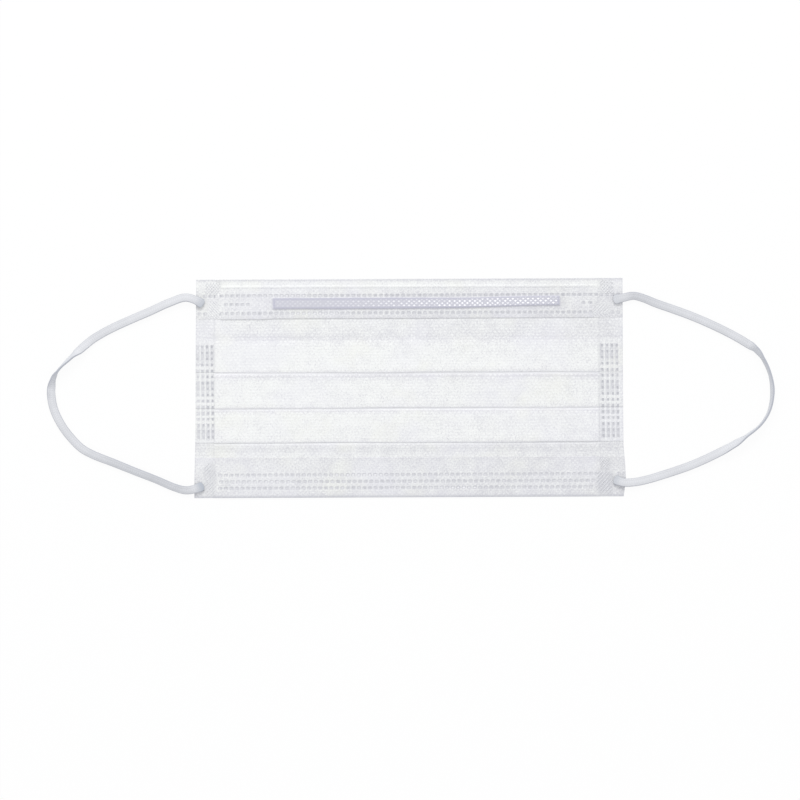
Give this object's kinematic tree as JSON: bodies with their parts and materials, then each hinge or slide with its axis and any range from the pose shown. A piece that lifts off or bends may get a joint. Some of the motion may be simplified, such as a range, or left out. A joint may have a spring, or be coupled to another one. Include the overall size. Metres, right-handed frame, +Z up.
{
  "type": "surgical face mask",
  "caption": "Flat-lying pleated surgical face mask of white nonwoven with hems, nose wire, welded sides and spread elastic ear loops.",
  "frame": {"origin": "on the surface that the mask lies on, under the middle of the pleated panel", "axes": "+Z up out of the mask's front, +X across the mask, +Y towards the nose wire"},
  "size_m": [0.2976, 0.089, 0.0034],
  "materials": {
    "nonwoven": "matte point-bonded nonwoven",
    "nose_strip": "satin plastic coat over wire",
    "elastic": "matte knitted elastic"
  },
  "bodies": {
    "root": {"pleated_panel": "nonwoven", "nose_wire": "nose_strip", "ear_loop_left": "elastic", "ear_loop_right": "elastic"}
  },
  "joints": []
}
